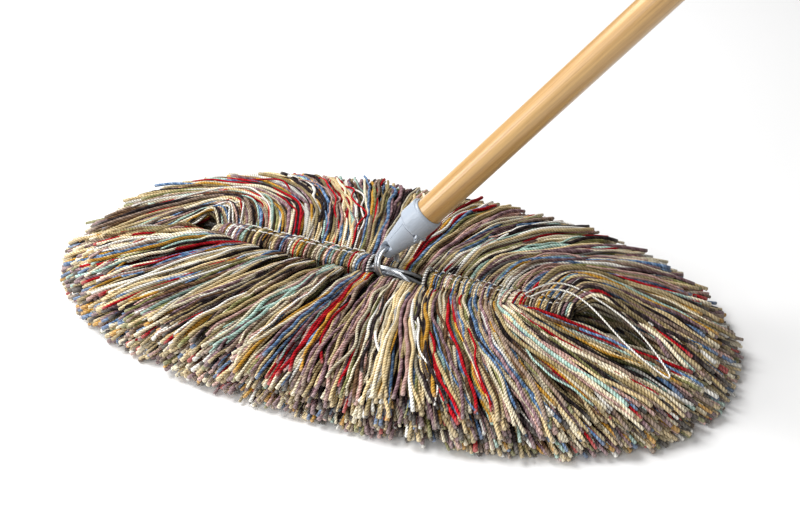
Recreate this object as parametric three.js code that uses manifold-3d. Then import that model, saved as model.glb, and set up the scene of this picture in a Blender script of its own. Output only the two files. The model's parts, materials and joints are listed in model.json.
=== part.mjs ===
// String mop: a wool yarn head on a spring wire frame, a plastic socket with a hinged clip door, and a wooden pole.
// Millimetres, +Z up. X runs along the head and Y across it. The origin is the middle of the head's sole.
import * as THREE from "three";
import { mergeVertices } from "three/addons/utils/BufferGeometryUtils.js";
import Module from "manifold-3d";

const wasm = await Module();
wasm.setup();

// ---- Driving dimensions ----
const GAP = 0.3; // clearance between neighbouring pieces
const FAR = 400; // larger than any piece of the head, for cutting tools

const HEAD_HALF_LENGTH = 305;
const HEAD_HALF_WIDTH = 175;
const OVAL_POWER = 2.3; // 2 would be an ellipse, more is squarer
const SOLE_TOP = 11.5;
const PILE_TOP = 34;

const POCKET_HALF_LENGTH = 215;
const POCKET_HALF_WIDTH = 60;
const CLOTH = 1; // thickness of the backing cloth
const POCKET_BOTTOM = SOLE_TOP + GAP;
const POCKET_TOP = 22.1;

const SPINE_HALF_LENGTH = 170;
const SPINE_HALF_WIDTH = 13;
const SPINE_TOP = 46;
const MOUTH_LEFT = -14; // the pocket's mouth, between the two spine ridges
const MOUTH_RIGHT = 42;

const FRAME_WIRE_R = 1.5;
const LANE = 1.65; // offset of each of the four frame wires from the middle of their bundle
const BUNDLE_Z = 34; // height of the bundle that the ring swings on
const CLIMB_HALF_LENGTH = 56; // the wires climb from the pocket to their bundle within this
const FRAME_Z = 17; // height of the wings inside the pocket

const RING_R = 13;
const RING_WIRE_R = 1.6;
const RING_PITCH = 3.6;
const RING_OFFSET = 7; // from the bundle to the ring's centre

const RING_LEAN = THREE.MathUtils.degToRad(33.8); // towards +Y, about the bundle
const RING_YAW = THREE.MathUtils.degToRad(-22); // the loose ring stands askew on the bundle
const SOCKET_LEAN = THREE.MathUtils.degToRad(43.1); // towards +X, about the top of the ring

const POLE_R = 12.7;
const POLE_LENGTH = 1219;
const POLE_START = 34.5; // distance of the pole's lower end from the ring hole
const SOCKET_LENGTH = 51;
const COLLAR_START = 30.5;
const COLLAR_R = 14.9;
const TIP = 7; // how far the socket's nose reaches past the ring hole
const CHEEK = 6.2; // half the thickness of the flat cheeks at the ring hole
const RING_HOLE_R = 3.6;
const HINGE_X = 12.6; // the door pin, from the socket's axis
const HINGE_Z = 31;
const HINGE_KNUCKLE_R = 2.2;
const HINGE_PIN_R = 1;
const SCREW_Z = 42.5;
const EYE_R = 11;
const EYE_HOLE_R = 6.5;
const EYE_HALF_THICKNESS = 3.5;
const CAP_TURN = 38; // degrees that the eye is turned about the pole

// ---- Materials ----
const material = (color, roughness, metalness = 0) =>
  new THREE.MeshStandardMaterial({ color, roughness, metalness });
const wood = material(0xd9a95c, 0.35);
const greyPlastic = material(0xb4bec9, 0.4);
const steel = material(0xb8bcc0, 0.2, 1);
const canvas = material(0xcfc6b4, 0.9);
const hemThread = material(0x3a3a3c, 0.8);
const whiteThread = material(0xf2efe6, 0.8);
const yarn = material(0xb9a684, 0.95);

// ---- Solids: closed meshes that can be joined and cut ----
function solid(geometry) {
  const bare = geometry.index ? geometry.toNonIndexed() : geometry.clone();
  bare.deleteAttribute("normal");
  bare.deleteAttribute("uv");
  const merged = mergeVertices(bare, 1e-4);
  const corners = merged.index.array;
  const kept = [];
  for (let i = 0; i < corners.length; i += 3) {
    const [a, b, c] = [corners[i], corners[i + 1], corners[i + 2]];
    if (a !== b && b !== c && c !== a) kept.push(a, b, c);
  }
  const make = (tris) =>
    new wasm.Manifold(
      new wasm.Mesh({
        numProp: 3,
        vertProperties: merged.attributes.position.array,
        triVerts: new Uint32Array(tris),
      }),
    );
  const made = make(kept);
  return made.volume() > 0 ? made : make(kept.reverse());
}

function geometryOf(made) {
  const mesh = made.getMesh();
  return new THREE.BufferGeometry()
    .setAttribute("position", new THREE.BufferAttribute(mesh.vertProperties, 3))
    .setIndex(new THREE.BufferAttribute(mesh.triVerts, 1));
}

function node(name, made, look, group) {
  const mesh = new THREE.Mesh(geometryOf(made), look);
  mesh.name = name;
  group.add(mesh);
}

// A box from its lowest to its highest corner.
function block(low, high) {
  const size = high.map((h, k) => h - low[k]);
  const centre = high.map((h, k) => (h + low[k]) / 2);
  return solid(new THREE.BoxGeometry(...size).translate(...centre));
}

// A profile of [radius, height] turned about Z.
function turned(profile, sides) {
  const points = profile.map(([r, z]) => new THREE.Vector2(r, z));
  return new THREE.LatheGeometry(points, sides).rotateX(Math.PI / 2);
}

// A cylinder along Y.
const crossPin = (radius, halfLength, sides = 20) =>
  new THREE.CylinderGeometry(radius, radius, 2 * halfLength, sides);

// An outline in XY raised from z0 to z1.
const slab = (shape, z0, z1, curveSegments = 12) =>
  new THREE.ExtrudeGeometry(shape, {
    depth: z1 - z0,
    bevelEnabled: false,
    curveSegments,
  }).translate(0, 0, z0);

// A bar with round ends, from x0 to x1.
function stadium(x0, x1, halfWidth) {
  const shape = new THREE.Shape();
  shape.moveTo(x0 + halfWidth, -halfWidth);
  shape.lineTo(x1 - halfWidth, -halfWidth);
  shape.absarc(x1 - halfWidth, 0, halfWidth, -Math.PI / 2, Math.PI / 2);
  shape.lineTo(x0 + halfWidth, halfWidth);
  shape.absarc(x0 + halfWidth, 0, halfWidth, Math.PI / 2, (3 * Math.PI) / 2);
  return shape;
}

// A round wire, thread or rolled hem along a curve.
function wire(curve, radius, sides, steps) {
  const section = new THREE.Shape();
  for (let i = 0; i < sides; i++) {
    const a = (2 * Math.PI * i) / sides;
    section[i ? "lineTo" : "moveTo"](radius * Math.cos(a), radius * Math.sin(a));
  }
  return new THREE.ExtrudeGeometry(section, { extrudePath: curve, steps });
}

const point = (x, y, z) => new THREE.Vector3(x, y, z);
const smooth = (points) => new THREE.CatmullRomCurve3(points, false, "centripetal");

// ---- The head: yarn, spine and pocket ----
const head = new THREE.Group();

const mouthCut = () =>
  solid(slab(stadium(-SPINE_HALF_LENGTH - GAP, SPINE_HALF_LENGTH + GAP, SPINE_HALF_WIDTH + GAP), 0, FAR));

const pocketCut = () =>
  solid(
    slab(
      stadium(-POCKET_HALF_LENGTH - GAP, POCKET_HALF_LENGTH + GAP, POCKET_HALF_WIDTH + GAP),
      0,
      POCKET_TOP + GAP,
    ),
  );

// Room under the spine where the frame wires climb from the pocket to their bundle.
function wireTunnel() {
  const [foot, crown] = [CLIMB_HALF_LENGTH, 18]; // half lengths of the tunnel at its ends and at its top
  const [low, high] = [POCKET_TOP + 1.4, BUNDLE_Z + 6];
  const side = new THREE.Shape();
  side.moveTo(-foot, 0);
  side.lineTo(-foot, low);
  side.lineTo(-crown, high);
  side.lineTo(crown, high);
  side.lineTo(foot, low);
  side.lineTo(foot, 0);
  const halfWidth = 26;
  return solid(
    new THREE.ExtrudeGeometry(side, { depth: 2 * halfWidth, bevelEnabled: false })
      .rotateX(Math.PI / 2)
      .translate(0, halfWidth, 0),
  );
}

// The whole yarn layer as an oval dome, before it is parted into the bunches that are sewn on.
function ovalPile(profile) {
  const round = turned(profile, 56);
  const at = round.attributes.position;
  for (let i = 0; i < at.count; i++) {
    const a = Math.atan2(at.getY(i), at.getX(i));
    const sum = Math.abs(Math.cos(a)) ** OVAL_POWER + Math.abs(Math.sin(a)) ** OVAL_POWER;
    const swell = sum ** (-1 / OVAL_POWER);
    at.setXY(i, at.getX(i) * swell, at.getY(i) * swell);
  }
  return solid(round.scale(HEAD_HALF_LENGTH / HEAD_HALF_WIDTH, 1, 1));
}

function addPile() {
  const b = HEAD_HALF_WIDTH;
  const top = ovalPile([
    [0, POCKET_BOTTOM],
    [b - 3, POCKET_BOTTOM],
    [b, 15],
    [b, 23],
    [b - 7, 28],
    [b - 45, 32],
    [b - 100, PILE_TOP],
    [0, PILE_TOP],
  ])
    .subtract(pocketCut())
    .subtract(mouthCut())
    .subtract(wireTunnel());
  const sole = ovalPile([
    [0, 0],
    [b - 9, 0],
    [b - 3, 2.5],
    [b, 7],
    [b, SOLE_TOP],
    [0, SOLE_TOP],
  ]);
  const end = 180; // where the end bunches start
  const third = 70; // half the length of the middle bunches
  const bunch = (name, layer, x0, x1, y0, y1) => {
    const g = GAP / 2;
    node(name, layer.intersect(block([x0 + g, y0 + g, -1], [x1 - g, y1 - g, FAR])), yarn, head);
  };
  const lengths = { left: [-end, -third], middle: [-third, third], right: [third, end] };
  const sides = { front: [-FAR, 0], back: [0, FAR] };
  for (const [side, [y0, y1]] of Object.entries(sides))
    for (const [place, [x0, x1]] of Object.entries(lengths))
      bunch(`top_yarn_${side}_${place}`, top, x0, x1, y0, y1);
  bunch("top_yarn_end_left", top, -FAR, -end, -FAR, FAR);
  bunch("top_yarn_end_right", top, end, FAR, -FAR, FAR);
  bunch("sole_yarn_middle", sole, -end, end, -POCKET_HALF_WIDTH, POCKET_HALF_WIDTH);
  bunch("sole_yarn_front", sole, -end, end, -FAR, -POCKET_HALF_WIDTH);
  bunch("sole_yarn_back", sole, -end, end, POCKET_HALF_WIDTH, FAR);
  bunch("sole_yarn_end_left", sole, -FAR, -end, -FAR, FAR);
  bunch("sole_yarn_end_right", sole, end, FAR, -FAR, FAR);
}

// The arch of the stitched spine, in a section across the head.
function spineArch(shape) {
  const springing = SPINE_TOP - SPINE_HALF_WIDTH;
  shape.moveTo(-SPINE_HALF_WIDTH, POCKET_TOP + GAP);
  shape.lineTo(SPINE_HALF_WIDTH, POCKET_TOP + GAP);
  shape.lineTo(SPINE_HALF_WIDTH, springing);
  shape.absarc(0, springing, SPINE_HALF_WIDTH, 0, Math.PI);
  return shape;
}

function addSpine(side, x0, x1) {
  const made = solid(
    new THREE.ExtrudeGeometry(spineArch(new THREE.Shape()), {
      depth: x1 - x0,
      bevelEnabled: false,
      curveSegments: 10,
    })
      .rotateX(Math.PI / 2)
      .rotateZ(Math.PI / 2)
      .translate(x0, 0, 0),
  );
  const roundEnds = solid(
    slab(stadium(-SPINE_HALF_LENGTH, SPINE_HALF_LENGTH, SPINE_HALF_WIDTH + 0.01), 0, FAR),
  );
  node(`spine_${side}`, made.intersect(roundEnds).subtract(wireTunnel()), yarn, head);
  addStitching(side, x0 + 6, x1 - 8);
}

// One zigzag of sewing thread along the crown of a spine ridge.
function addStitching(side, x0, x1) {
  const threadR = 0.6;
  const pitch = 9;
  const swing = 3;
  const count = Math.floor((x1 - x0) / pitch);
  const drop = (y) => SPINE_HALF_WIDTH - Math.sqrt(SPINE_HALF_WIDTH ** 2 - y ** 2);
  const points = [];
  for (let i = 0; i <= count; i++) {
    const y = i % 2 ? swing : -swing;
    points.push(point(x0 + i * pitch, y, SPINE_TOP + threadR + GAP - drop(y) + 0.6));
  }
  node(`spine_thread_${side}`, solid(wire(smooth(points), threadR, 6, count * 4)), whiteThread, head);
}

// The overlocked edge of the pocket's mouth, which follows the end of a spine ridge.
function addHem(side, x) {
  const hemR = 1.4;
  const arch = SPINE_HALF_WIDTH - hemR - 0.4;
  const springing = SPINE_TOP - SPINE_HALF_WIDTH;
  const points = [];
  for (let i = 0; i <= 8; i++) {
    const a = (Math.PI * i) / 8;
    points.push(point(x, arch * Math.cos(a), springing + arch * Math.sin(a)));
  }
  node(`mouth_hem_${side}`, solid(wire(smooth(points), hemR, 8, 20)), hemThread, head);
}

function addPocket() {
  const [l, w] = [POCKET_HALF_LENGTH, POCKET_HALF_WIDTH];
  const sheet = (z0) => solid(slab(stadium(-l, l, w), z0, z0 + CLOTH));
  const mouthHalfWidth = 20;
  const mouth = solid(slab(stadium(-CLIMB_HALF_LENGTH, CLIMB_HALF_LENGTH, mouthHalfWidth), 0, FAR));
  const bindingWidth = 4;
  const z0 = POCKET_BOTTOM + CLOTH + GAP;
  const z1 = POCKET_TOP - CLOTH - GAP;
  const binding = solid(slab(stadium(-l, l, w), z0, z1)).subtract(
    solid(slab(stadium(-l + bindingWidth, l - bindingWidth, w - bindingWidth), 0, FAR)),
  );
  node("bottom_backing", sheet(POCKET_BOTTOM), canvas, head);
  node("top_backing", sheet(POCKET_TOP - CLOTH).subtract(mouth), canvas, head);
  node("edge_binding", binding, canvas, head);
}

// ---- The spring wire frame inside the pocket ----
// Half of a wing, from the bundle out to the wing's end: [x, y, z].
const OUTER_WING = [
  [12, LANE, BUNDLE_Z + LANE],
  [19, 3.6, BUNDLE_Z + 0.8],
  [32, 10, 27.5],
  [46, 16, 19],
  [62, 25, FRAME_Z],
  [105, 42, FRAME_Z],
  [155, 47, FRAME_Z],
  [190, 38, FRAME_Z],
  [204, 18, FRAME_Z],
  [205, 9, FRAME_Z],
];
const INNER_WING = [
  [12, LANE, BUNDLE_Z - LANE],
  [19, 2, BUNDLE_Z - 3.2],
  [32, 4.6, 25],
  [46, 8.5, 18.6],
  [62, 12.5, FRAME_Z],
  [95, 22, FRAME_Z],
  [125, 23, FRAME_Z],
  [144, 14, FRAME_Z],
  [148, 9, FRAME_Z],
];

// The wire runs from its sleeve at the left end, through the front lane, round the right wing and back.
function frameCurve(wing) {
  const along = (sx, sy) => wing.map(([x, y, z]) => point(sx * x, sy * y, z));
  const endX = wing[wing.length - 1][0];
  const halfSplit = 0.4; // the wire's two ends stay apart inside the sleeve
  return smooth([
    point(-endX, -halfSplit, FRAME_Z),
    ...along(-1, -1).reverse(),
    ...along(1, -1),
    ...along(1, 1).reverse(),
    ...along(-1, 1),
    point(-endX, halfSplit, FRAME_Z),
  ]);
}

function addFrame() {
  for (const [name, wing] of [
    ["outer", OUTER_WING],
    ["inner", INNER_WING],
  ]) {
    node(`${name}_frame_wire`, solid(wire(frameCurve(wing), FRAME_WIRE_R, 8, 150)), steel, head);
    const sleeveHalf = 7;
    const tube = solid(crossPin(FRAME_WIRE_R + 1.4, sleeveHalf)).subtract(
      solid(crossPin(FRAME_WIRE_R + GAP, sleeveHalf + 1)),
    );
    const x = wing[wing.length - 1][0];
    node(`${name}_crimp_sleeve`, tube.translate([-x, 0, FRAME_Z]), steel, head);
  }
}

// ---- The double ring that links the frame to the socket ----
class RingCurve extends THREE.Curve {
  getPoint(t, target = new THREE.Vector3()) {
    const a = 4 * Math.PI * t;
    const x = (t - 0.5) * 2 * RING_PITCH;
    return target.set(x, RING_R * Math.sin(a), RING_OFFSET - RING_R * Math.cos(a));
  }
}

// ---- The socket, its door and the pole: Z runs along the pole from the ring hole ----
const SOCKET_PROFILE = [
  [0, -TIP],
  [5.4, -TIP],
  [6.6, -TIP + 0.5],
  [7.1, -TIP + 1.7],
  [14.1, COLLAR_START],
  [COLLAR_R, SOCKET_LENGTH - 3.5],
  [COLLAR_R - 0.2, SOCKET_LENGTH - 1.6],
  [COLLAR_R - 0.8, SOCKET_LENGTH - 0.5],
  [COLLAR_R - 1.5, SOCKET_LENGTH],
  [0, SOCKET_LENGTH],
];

// The ring hole widens towards both cheeks as the ring curves away, so that the socket can tilt on it.
function ringHole() {
  const steps = 6;
  const reach = CHEEK + 2;
  const profile = [[0, -reach]];
  for (let i = -steps; i <= steps; i++) {
    const y = (reach * i) / steps;
    profile.push([RING_HOLE_R + RING_R - Math.sqrt(RING_R ** 2 - y ** 2), y]);
  }
  profile.push([0, reach]);
  return solid(turned(profile, 24).rotateX(Math.PI / 2));
}

// The collar is thicker on the screw's side: a second cylinder, set a little towards -X.
function screwSide() {
  const [z0, z1] = [COLLAR_START + 1, SOCKET_LENGTH - 1.5];
  const r = COLLAR_R + 0.2;
  return solid(
    turned(
      [
        [0, z0],
        [r - 0.6, z0],
        [r, z0 + 1.4],
        [r, z1 - 1],
        [r - 1, z1],
        [0, z1],
      ],
      40,
    ),
  ).translate([-1.6, 0, 0]);
}

// The screw lies across the socket, pointing along +X into the pole.
function screw(extra) {
  const profile = [
    [0, 0],
    [3.3 + extra, 0],
    [3.3 + extra, 1.5],
    [1.6 + extra, 2.4 + extra],
    [1.6 + extra, 13],
    [0, 14 + extra],
  ];
  return solid(turned(profile, 14).rotateY(Math.PI / 2)).translate([-16.5, 0, SCREW_Z]);
}

function addSocket(group, doorGroup) {
  const cone = solid(turned(SOCKET_PROFILE, 40));
  const cheeks = block([-FAR, CHEEK, -FAR], [FAR, FAR, 5.5]).add(
    block([-FAR, -FAR, -FAR], [FAR, -CHEEK, 5.5]),
  );
  const bore = solid(new THREE.CylinderGeometry(POLE_R + GAP, POLE_R + GAP, 40, 40).rotateX(Math.PI / 2));
  const boreFloor = POLE_START - 0.6;
  const shell = cone
    .add(screwSide())
    .subtract(bore.translate([0, 0, boreFloor + 20]))
    .subtract(cheeks)
    .subtract(ringHole());
  const g = GAP / 2;
  const doorSide = block([g, -FAR, -FAR], [FAR, FAR, COLLAR_START - g]);
  const bodySide = block([-g, -FAR, -FAR], [FAR, FAR, COLLAR_START + g]);
  // Knuckles on the pin: the door's one sits between the socket's two.
  const doorKnuckle = 2.6;
  const ear = 6;
  const at = [HINGE_X, 0, HINGE_Z];
  const hinge = (radius, half) => solid(crossPin(radius, half)).translate(at);
  const pinHole = hinge(HINGE_PIN_R + GAP, ear + 2);
  const knuckleRoom = hinge(HINGE_KNUCKLE_R + GAP, doorKnuckle + GAP);
  const earRoom = hinge(HINGE_KNUCKLE_R + GAP, ear + GAP).subtract(hinge(FAR, doorKnuckle));
  const ears = hinge(HINGE_KNUCKLE_R, ear).subtract(hinge(FAR, doorKnuckle + GAP));
  // A bridge joins each knuckle to its own side of the gap.
  const bridgeX = HINGE_X - 2;
  const doorBridge = block(
    [bridgeX, -doorKnuckle, COLLAR_START - 5],
    [HINGE_X + 1.6, doorKnuckle, HINGE_Z],
  );
  const bridgeRoom = block([bridgeX - GAP, -doorKnuckle - GAP, 0], [FAR, doorKnuckle + GAP, HINGE_Z]);
  const body = shell
    .subtract(bodySide)
    .add(ears.subtract(bore.translate([0, 0, boreFloor + 20])))
    .subtract(knuckleRoom)
    .subtract(doorBridge.add(bridgeRoom))
    .subtract(pinHole)
    .subtract(screw(GAP));
  const door = shell
    .intersect(doorSide)
    .subtract(earRoom)
    .add(hinge(HINGE_KNUCKLE_R, doorKnuckle).add(doorBridge))
    .subtract(solid(crossPin(POLE_R, 1)).translate([-FAR, 0, 0]))
    .subtract(pinHole);
  node("socket", body, greyPlastic, group);
  node("clip_door", door, greyPlastic, doorGroup);
  node("door_pin", hinge(HINGE_PIN_R, ear - 0.4), steel, group);
  node("socket_screw", screw(0), steel, group);
}

function addPole(group) {
  const end = POLE_START + POLE_LENGTH;
  const chamfer = 1.5;
  const pole = turned(
    [
      [0, POLE_START],
      [POLE_R - chamfer, POLE_START],
      [POLE_R, POLE_START + chamfer],
      [POLE_R, end - chamfer],
      [POLE_R - chamfer, end],
      [0, end],
    ],
    40,
  );
  node("pole", solid(pole).subtract(screw(GAP)), wood, group);

  // The cap is pushed over the pole's upper end and carries a flat eye to hang the mop by.
  const capR = POLE_R + 2.2;
  const capBase = end - 24;
  const shell = solid(
    turned(
      [
        [0, capBase],
        [capR - 0.8, capBase],
        [capR, capBase + 1.2],
        [capR, end + 1],
        [capR - 2.5, end + 5],
        [8, end + 8],
        [0, end + 8.6],
      ],
      32,
    ),
  );
  const eyeZ = end + 17;
  const t = EYE_HALF_THICKNESS;
  const eye = solid(crossPin(EYE_R, t, 28))
    .translate([0, 0, eyeZ])
    .add(block([-8, -t, end + 2], [8, t, eyeZ]));
  const inside = [
    [0, 0],
    [POLE_R + GAP, 0],
    [POLE_R + GAP, end + GAP],
    [0, end + GAP],
  ];
  const cap = shell
    .add(eye)
    .subtract(solid(crossPin(EYE_HOLE_R, 20, 24)).translate([0, 0, eyeZ]))
    .subtract(solid(turned(inside, 40)))
    .rotate([0, 0, CAP_TURN]);
  node("hanger_cap", cap, greyPlastic, group);
}

// ---- Assembly ----
addPile();
addSpine("left", -SPINE_HALF_LENGTH, MOUTH_LEFT);
addSpine("right", MOUTH_RIGHT, SPINE_HALF_LENGTH);
addHem("left", MOUTH_LEFT + 1.8);
addHem("right", MOUTH_RIGHT - 1.8);
addPocket();
addFrame();

// The ring swings about the bundle, and the socket tilts about the top of the ring.
const swing = new THREE.Group();
swing.position.set(0, 0, BUNDLE_Z);
swing.rotation.x = -RING_LEAN;
const ring = new THREE.Group();
ring.rotation.z = RING_YAW;
node("link_ring", solid(wire(new RingCurve(), RING_WIRE_R, 8, 72)), steel, ring);

const handle = new THREE.Group();
handle.position.z = RING_OFFSET + RING_R;
handle.rotation.y = SOCKET_LEAN;
addSocket(handle, handle);
addPole(handle);
ring.add(handle);
swing.add(ring);

const mop = new THREE.Group();
mop.add(head, swing);

export default mop;
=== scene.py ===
"""A string mop at rest on a pale floor: the looks that go over its CAD frame.

The yarn head is built strand by strand. Every strand is one closed tube that leaves the stitched spine, curls
round towards the rim and lies on the strands below it. Lengths are in metres.
"""

import json
import math

import bpy
import numpy as np
from mathutils import Matrix, Vector


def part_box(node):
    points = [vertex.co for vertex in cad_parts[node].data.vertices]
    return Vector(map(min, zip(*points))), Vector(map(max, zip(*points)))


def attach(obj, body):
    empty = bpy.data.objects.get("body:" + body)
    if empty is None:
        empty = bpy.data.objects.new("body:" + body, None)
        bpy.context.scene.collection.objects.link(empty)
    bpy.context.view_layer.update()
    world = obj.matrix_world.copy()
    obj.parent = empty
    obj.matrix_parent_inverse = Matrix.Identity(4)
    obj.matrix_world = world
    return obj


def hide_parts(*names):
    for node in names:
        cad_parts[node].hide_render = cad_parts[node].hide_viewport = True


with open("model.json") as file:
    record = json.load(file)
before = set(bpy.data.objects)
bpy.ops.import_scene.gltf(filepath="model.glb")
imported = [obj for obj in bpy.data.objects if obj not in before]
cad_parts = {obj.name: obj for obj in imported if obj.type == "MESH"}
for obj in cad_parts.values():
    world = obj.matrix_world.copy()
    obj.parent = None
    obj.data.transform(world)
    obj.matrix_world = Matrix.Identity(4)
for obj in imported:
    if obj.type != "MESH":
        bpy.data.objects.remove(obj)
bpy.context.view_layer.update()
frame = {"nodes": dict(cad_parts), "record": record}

MM = 0.001
rng = np.random.default_rng(7)


# ---- Camera: looks down along the head from its left front ----
CAMERA_TARGET = Vector((0, 0, 30 * MM))
CAMERA_AZIMUTH = math.radians(23.3)
CAMERA_ELEVATION = math.radians(32.3)
CAMERA_DISTANCE = 1090 * MM
CAMERA_RIGHT, CAMERA_UP = 13 * MM, 7.5 * MM  # how far the view's centre lies from the target
CAMERA_LENS, CAMERA_SENSOR = 56.25, 36  # millimetres


def add_object(name, data):
    """A new object with this data, in the scene."""
    obj = bpy.data.objects.new(name, data)
    bpy.context.scene.collection.objects.link(obj)
    return obj


def place_camera():
    ca, sa = math.cos(CAMERA_AZIMUTH), math.sin(CAMERA_AZIMUTH)
    ce, se = math.cos(CAMERA_ELEVATION), math.sin(CAMERA_ELEVATION)
    right = Vector((ca, sa, 0))
    back = Vector((sa * ce, -ca * ce, se))
    up = back.cross(right)
    data = bpy.data.cameras.new("camera")
    data.lens, data.sensor_width = CAMERA_LENS, CAMERA_SENSOR
    data.clip_start, data.clip_end = 20 * MM, 50
    camera = add_object("camera", data)
    turn = Matrix((right, up, back)).transposed().to_4x4()
    place = CAMERA_TARGET + back * CAMERA_DISTANCE + right * CAMERA_RIGHT + up * CAMERA_UP
    camera.matrix_world = Matrix.Translation(place) @ turn
    bpy.context.scene.camera = camera


place_camera()


# ---- The head's measures, from the frame ----
def lows_highs(*nodes):
    """The lowest and highest corner of several CAD nodes together."""
    boxes = [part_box(n) for n in nodes]
    low = [min(b[0][k] for b in boxes) for k in range(3)]
    high = [max(b[1][k] for b in boxes) for k in range(3)]
    return low, high


YARN_NODES = [s["node"] for s in frame["record"]["subparts"] if s["material_slot"] == "yarn"]
head_low, head_high = lows_highs(*YARN_NODES)
HALF_LENGTH = (head_high[0] - head_low[0]) / 2
HALF_WIDTH = (head_high[1] - head_low[1]) / 2
RIDGE_TOP = head_high[2]
SPINE_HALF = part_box("spine_right")[1].x
MOUTH_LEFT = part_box("spine_left")[1].x
MOUTH_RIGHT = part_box("spine_right")[0].x
MOUTH_MIDDLE = (MOUTH_LEFT + MOUTH_RIGHT) / 2
RIDGE_HALF_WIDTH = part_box("spine_left")[1].y
OVAL_POWER = 2.3  # 2 would be an ellipse, and more is fuller


# ---- Materials ----
def linear(code):
    """A colour written as red, green, blue hex pairs, in linear light."""
    parts = [int(code[i : i + 2], 16) / 255 for i in (0, 2, 4)]
    return [c / 12.92 if c <= 0.04045 else ((c + 0.055) / 1.055) ** 2.4 for c in parts] + [1]


def grey(value):
    return [value, value, value, 1]


def darker(color, share):
    return [c * share for c in color[:3]] + [1]


class Shader:
    """A small helper that adds nodes to one material, and links sockets or sets values."""

    def __init__(self, name):
        self.material = bpy.data.materials.new(name)
        self.material.use_nodes = True
        self.tree = self.material.node_tree
        self.surface = self.tree.nodes["Principled BSDF"]

    def put(self, kind, inputs=None, **settings):
        node = self.tree.nodes.new("ShaderNode" + kind)
        for key, value in settings.items():
            setattr(node, key, value)
        self.feed(node, inputs or {})
        return node

    def feed(self, node, inputs):
        for key, value in inputs.items():
            if isinstance(value, bpy.types.NodeSocket):
                self.tree.links.new(value, node.inputs[key])
            else:
                node.inputs[key].default_value = value

    def math(self, operation, a, b=0.0):
        return self.put("Math", {0: a, 1: b}, operation=operation).outputs[0]

    def mix(self, factor, a, b, blend="MIX"):
        node = self.put("Mix", data_type="RGBA", blend_type=blend)
        self.feed(node, {"Factor": factor, 6: a, 7: b})
        return node.outputs[2]

    def noise(self, vector, scale, detail=3.0, roughness=0.6):
        inputs = {"Vector": vector, "Scale": scale, "Detail": detail, "Roughness": roughness}
        return self.put("TexNoise", inputs).outputs["Fac"]

    def stretch(self, vector, scale):
        return self.put("Mapping", {"Vector": vector, "Scale": scale}).outputs["Vector"]

    def ramp(self, value, low, high, bottom=0.0, top=1.0):
        """value taken from between low and high to between bottom and top."""
        inputs = {"Value": value, "From Min": low, "From Max": high, "To Min": bottom, "To Max": top}
        return self.put("MapRange", inputs).outputs["Result"]

    def place(self):
        return self.put("TexCoord").outputs["Object"]

    def bump(self, height, strength, distance):
        inputs = {"Height": height, "Strength": strength, "Distance": distance}
        self.feed(self.surface, {"Normal": self.put("Bump", inputs).outputs["Normal"]})


def dress(obj, material, plain):
    """Shows the material on obj, over a plain material of its mean colour in the mesh itself."""
    if not obj.data.materials:
        obj.data.materials.append(plain)
    obj.data.materials[0] = plain
    obj.material_slots[0].link = "OBJECT"
    obj.material_slots[0].material = material


def plain_material(name, color, roughness, metallic=0.0):
    made = Shader(name)
    made.feed(made.surface, {"Base Color": color, "Roughness": roughness, "Metallic": metallic})
    return made.material


PLY_PITCH = 3.0 * MM  # along the yarn, from one ply to the next
PLIES = 3
TIP_COLOR = "f8f1e4"  # the pale colour that cut ends fade a little towards


def yarn_material(name, color, mate):
    """Plies that wind round the strand, one of them in the mate colour, with painted shade between them, and
    a tone that varies by strand.
    """
    s = Shader(name)
    uv = s.put("UVMap", uv_map="strand").outputs["UV"]
    across = s.put("SeparateXYZ", {"Vector": uv})
    turns = s.math("MULTIPLY", across.outputs["X"], 1 / (PLY_PITCH * PLIES))
    round_once = s.math("ADD", across.outputs["Y"], turns)
    ridge = s.math("ABSOLUTE", s.math("SINE", s.math("MULTIPLY", round_once, math.pi * PLIES)))
    which_ply = s.math("SINE", s.math("MULTIPLY", round_once, 2 * math.pi))
    fibres = s.noise(s.stretch(uv, (900, 14, 1)), 1.0, detail=4)
    blotches = s.noise(s.place(), 60, detail=2)
    # The tone attribute holds each strand's own tone, with painted shade multiplied in where the strand lies
    # covered in the pile.
    tone = s.put("Attribute", attribute_name="tone", attribute_type="GEOMETRY").outputs["Fac"]
    tip = s.put("Attribute", attribute_name="tip", attribute_type="GEOMETRY").outputs["Fac"]
    plied = s.mix(s.math("MULTIPLY", s.ramp(which_ply, -0.1, 0.6), 0.6), color, mate)
    speckle = s.ramp(s.math("ADD", fibres, blotches), 0.75, 1.3)
    # Painted shade: darker in the grooves between the plies, and a little lighter on their crests.
    groove_shade = s.mix(s.ramp(ridge, 0.0, 0.75), [0.36, 0.33, 0.31, 1], grey(1.14))  # dark between the plies
    own = s.mix(tone, [0.05, 0.045, 0.045, 1], [1.35, 1.34, 1.31, 1])
    mottle = s.mix(speckle, [0.76, 0.75, 0.74, 1], grey(1.15))
    shade = s.mix(1.0, s.mix(1.0, groove_shade, own, "MULTIPLY"), mottle, "MULTIPLY")
    base = s.mix(1.0, plied, shade, "MULTIPLY")
    faded = s.mix(0.25, color, linear(TIP_COLOR))
    s.feed(
        s.surface,
        {
            "Base Color": s.mix(s.math("MULTIPLY", tip, 0.75), base, faded),
            "Roughness": 0.95,
            "Specular IOR Level": 0.1,
        },
    )
    s.bump(s.math("ADD", ridge, s.math("MULTIPLY", fibres, 0.4)), 0.9, 0.5 * MM)
    return s.material


def thread_material(name, color):
    """Sewing thread, mottled finely."""
    s = Shader(name)
    weave = s.noise(s.place(), 900, detail=2)
    s.feed(
        s.surface,
        {
            "Base Color": s.mix(weave, darker(color, 0.75), color),
            "Roughness": 0.75,
            "Sheen Weight": 0.2,
        },
    )
    s.bump(weave, 0.5, 0.2 * MM)
    return s.material


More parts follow.
